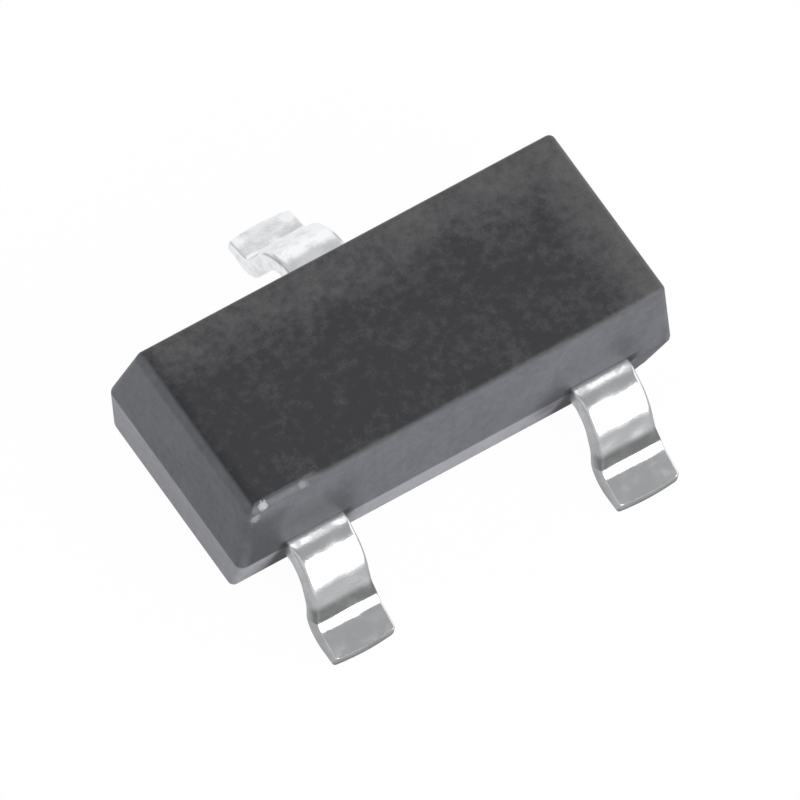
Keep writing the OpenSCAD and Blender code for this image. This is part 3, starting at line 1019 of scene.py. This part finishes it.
def make_surround(scene, stage):
    """A soft surround with a dark patch overhead and three lights, plain white where the camera sees it."""
    world = bpy.data.worlds.new("soft_surround")
    scene.world = world
    tree = Tree(world)
    way = tree.add("ShaderNodeTexCoord", output="Generated")
    x = tree.axis(way, "X")
    level = stage.surround + x.between(*TO_THE_RIGHT) * (stage.right_side - stage.surround)
    level = level + x.between(*TO_THE_LEFT) * (stage.left_side - stage.surround)
    level = level + cone(tree, way, stage.ceiling_way, *CEILING_CONE) * (stage.ceiling - level)
    level = level + cone(tree, way, stage.softbox_way, *SOFTBOX_CONE) * stage.softbox
    level = level + cone(tree, way, stage.skylight_way, *SKYLIGHT_CONE) * stage.skylight
    level = level + cone(tree, way, stage.back_way, *BACK_LIGHT_CONE) * stage.back_light
    camera = tree.add("ShaderNodeLightPath", output="Is Camera Ray")
    shown = level * (1 - camera) + camera
    glow = tree.add("ShaderNodeBackground", None, {"Color": WHITE, "Strength": shown})
    tree.add("ShaderNodeOutputWorld", None, {"Surface": glow})


def make_camera(scene, stage):
    """A long lens at the photograph's angle, rolled as the photograph is."""
    a, e, r = stage.azimuth, stage.elevation, stage.roll
    back = Vector((math.sin(a) * math.cos(e), -math.cos(a) * math.cos(e), math.sin(e)))
    level = Vector((math.cos(a), math.sin(a), 0))
    over = back.cross(level)
    right = math.cos(r) * level + math.sin(r) * over
    up = back.cross(right)
    data = bpy.data.cameras.new("camera")
    data.sensor_width = SENSOR_WIDTH
    data.lens = data.sensor_width * stage.distance / stage.view_width
    data.clip_start, data.clip_end = NEAREST, FURTHEST
    camera = bpy.data.objects.new("camera", data)
    scene.collection.objects.link(camera)
    turn = Matrix((right, up, back)).transposed().to_4x4()
    camera.matrix_world = Matrix.Translation(Vector(stage.aim) + stage.distance * back) @ turn
    scene.camera = camera


# Operators


class TRANSISTOR_OT_moulded_body(Operator):
    """Make the moulded body"""

    bl_idname = "transistor.moulded_body"
    bl_label = "Moulded body"

    def execute(self, context):
        settings = context.scene.transistor
        piece = build_body(settings.body, mould_compound(settings))
        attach(piece, ROOT)
        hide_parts("moulded_body")
        return {"FINISHED"}


class TRANSISTOR_OT_folded_leads(Operator):
    """Make the three folded leads"""

    bl_idname = "transistor.folded_leads"
    bl_label = "Folded leads"

    def execute(self, context):
        settings = context.scene.transistor
        material = tin_plate(settings.colours)
        pitch = settings.lead.pitch
        leads = (("base_lead", -pitch, FRONT), ("emitter_lead", pitch, FRONT), ("collector_lead", 0.0, BACK))
        for node, middle, side in leads:
            piece = build_lead(node + "_plated", settings.lead, material, node, middle, side)
            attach(piece, ROOT)
            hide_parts(node)
        return {"FINISHED"}


class TRANSISTOR_OT_die_and_wires(Operator):
    """Finish the die, its bonding layer and the bond wires"""

    bl_idname = "transistor.die_and_wires"
    bl_label = "Die and wires"

    def execute(self, context):
        colours = context.scene.transistor.colours
        gold = drawn_gold(colours)
        finishes = {"silicon_die": polished_silicon(colours), "die_attach": silver_epoxy(colours),
                    "base_wire": gold, "emitter_wire": gold}
        for node, material in finishes.items():
            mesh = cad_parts[node].data
            mesh.materials.clear()
            mesh.materials.append(material)
        return {"FINISHED"}


class TRANSISTOR_OT_stage(Operator):
    """Make the floor, the surround and the camera"""

    bl_idname = "transistor.stage"
    bl_label = "Stage"

    def execute(self, context):
        settings = context.scene.transistor
        make_floor(settings)
        make_surround(context.scene, settings.stage)
        make_camera(context.scene, settings.stage)
        context.scene.view_settings.view_transform = "Standard"
        return {"FINISHED"}


class TRANSISTOR_PT_pieces(Panel):
    """Lists the operators in the sidebar"""

    bl_idname = "TRANSISTOR_PT_pieces"
    bl_label = "Transistor"
    bl_space_type = "VIEW_3D"
    bl_region_type = "UI"
    bl_category = "Transistor"

    def draw(self, context):
        for operator in OPERATORS:
            self.layout.operator(operator.bl_idname)


OPERATORS = (
    TRANSISTOR_OT_moulded_body, TRANSISTOR_OT_folded_leads, TRANSISTOR_OT_die_and_wires, TRANSISTOR_OT_stage)
SETTINGS = (BodySizes, LeadSizes, Colours, MouldFinish, StageSettings, TransistorSettings)
CLASSES = (*SETTINGS, *OPERATORS, TRANSISTOR_PT_pieces)


def register():
    for item in CLASSES:
        bpy.utils.register_class(item)
    bpy.types.Scene.transistor = PointerProperty(type=TransistorSettings)


def unregister():
    del bpy.types.Scene.transistor
    for item in reversed(CLASSES):
        bpy.utils.unregister_class(item)


def main():
    register()
    bpy.ops.transistor.moulded_body()
    bpy.ops.transistor.folded_leads()
    bpy.ops.transistor.die_and_wires()
    bpy.ops.transistor.stage()


if __name__ == "__main__":
    main()
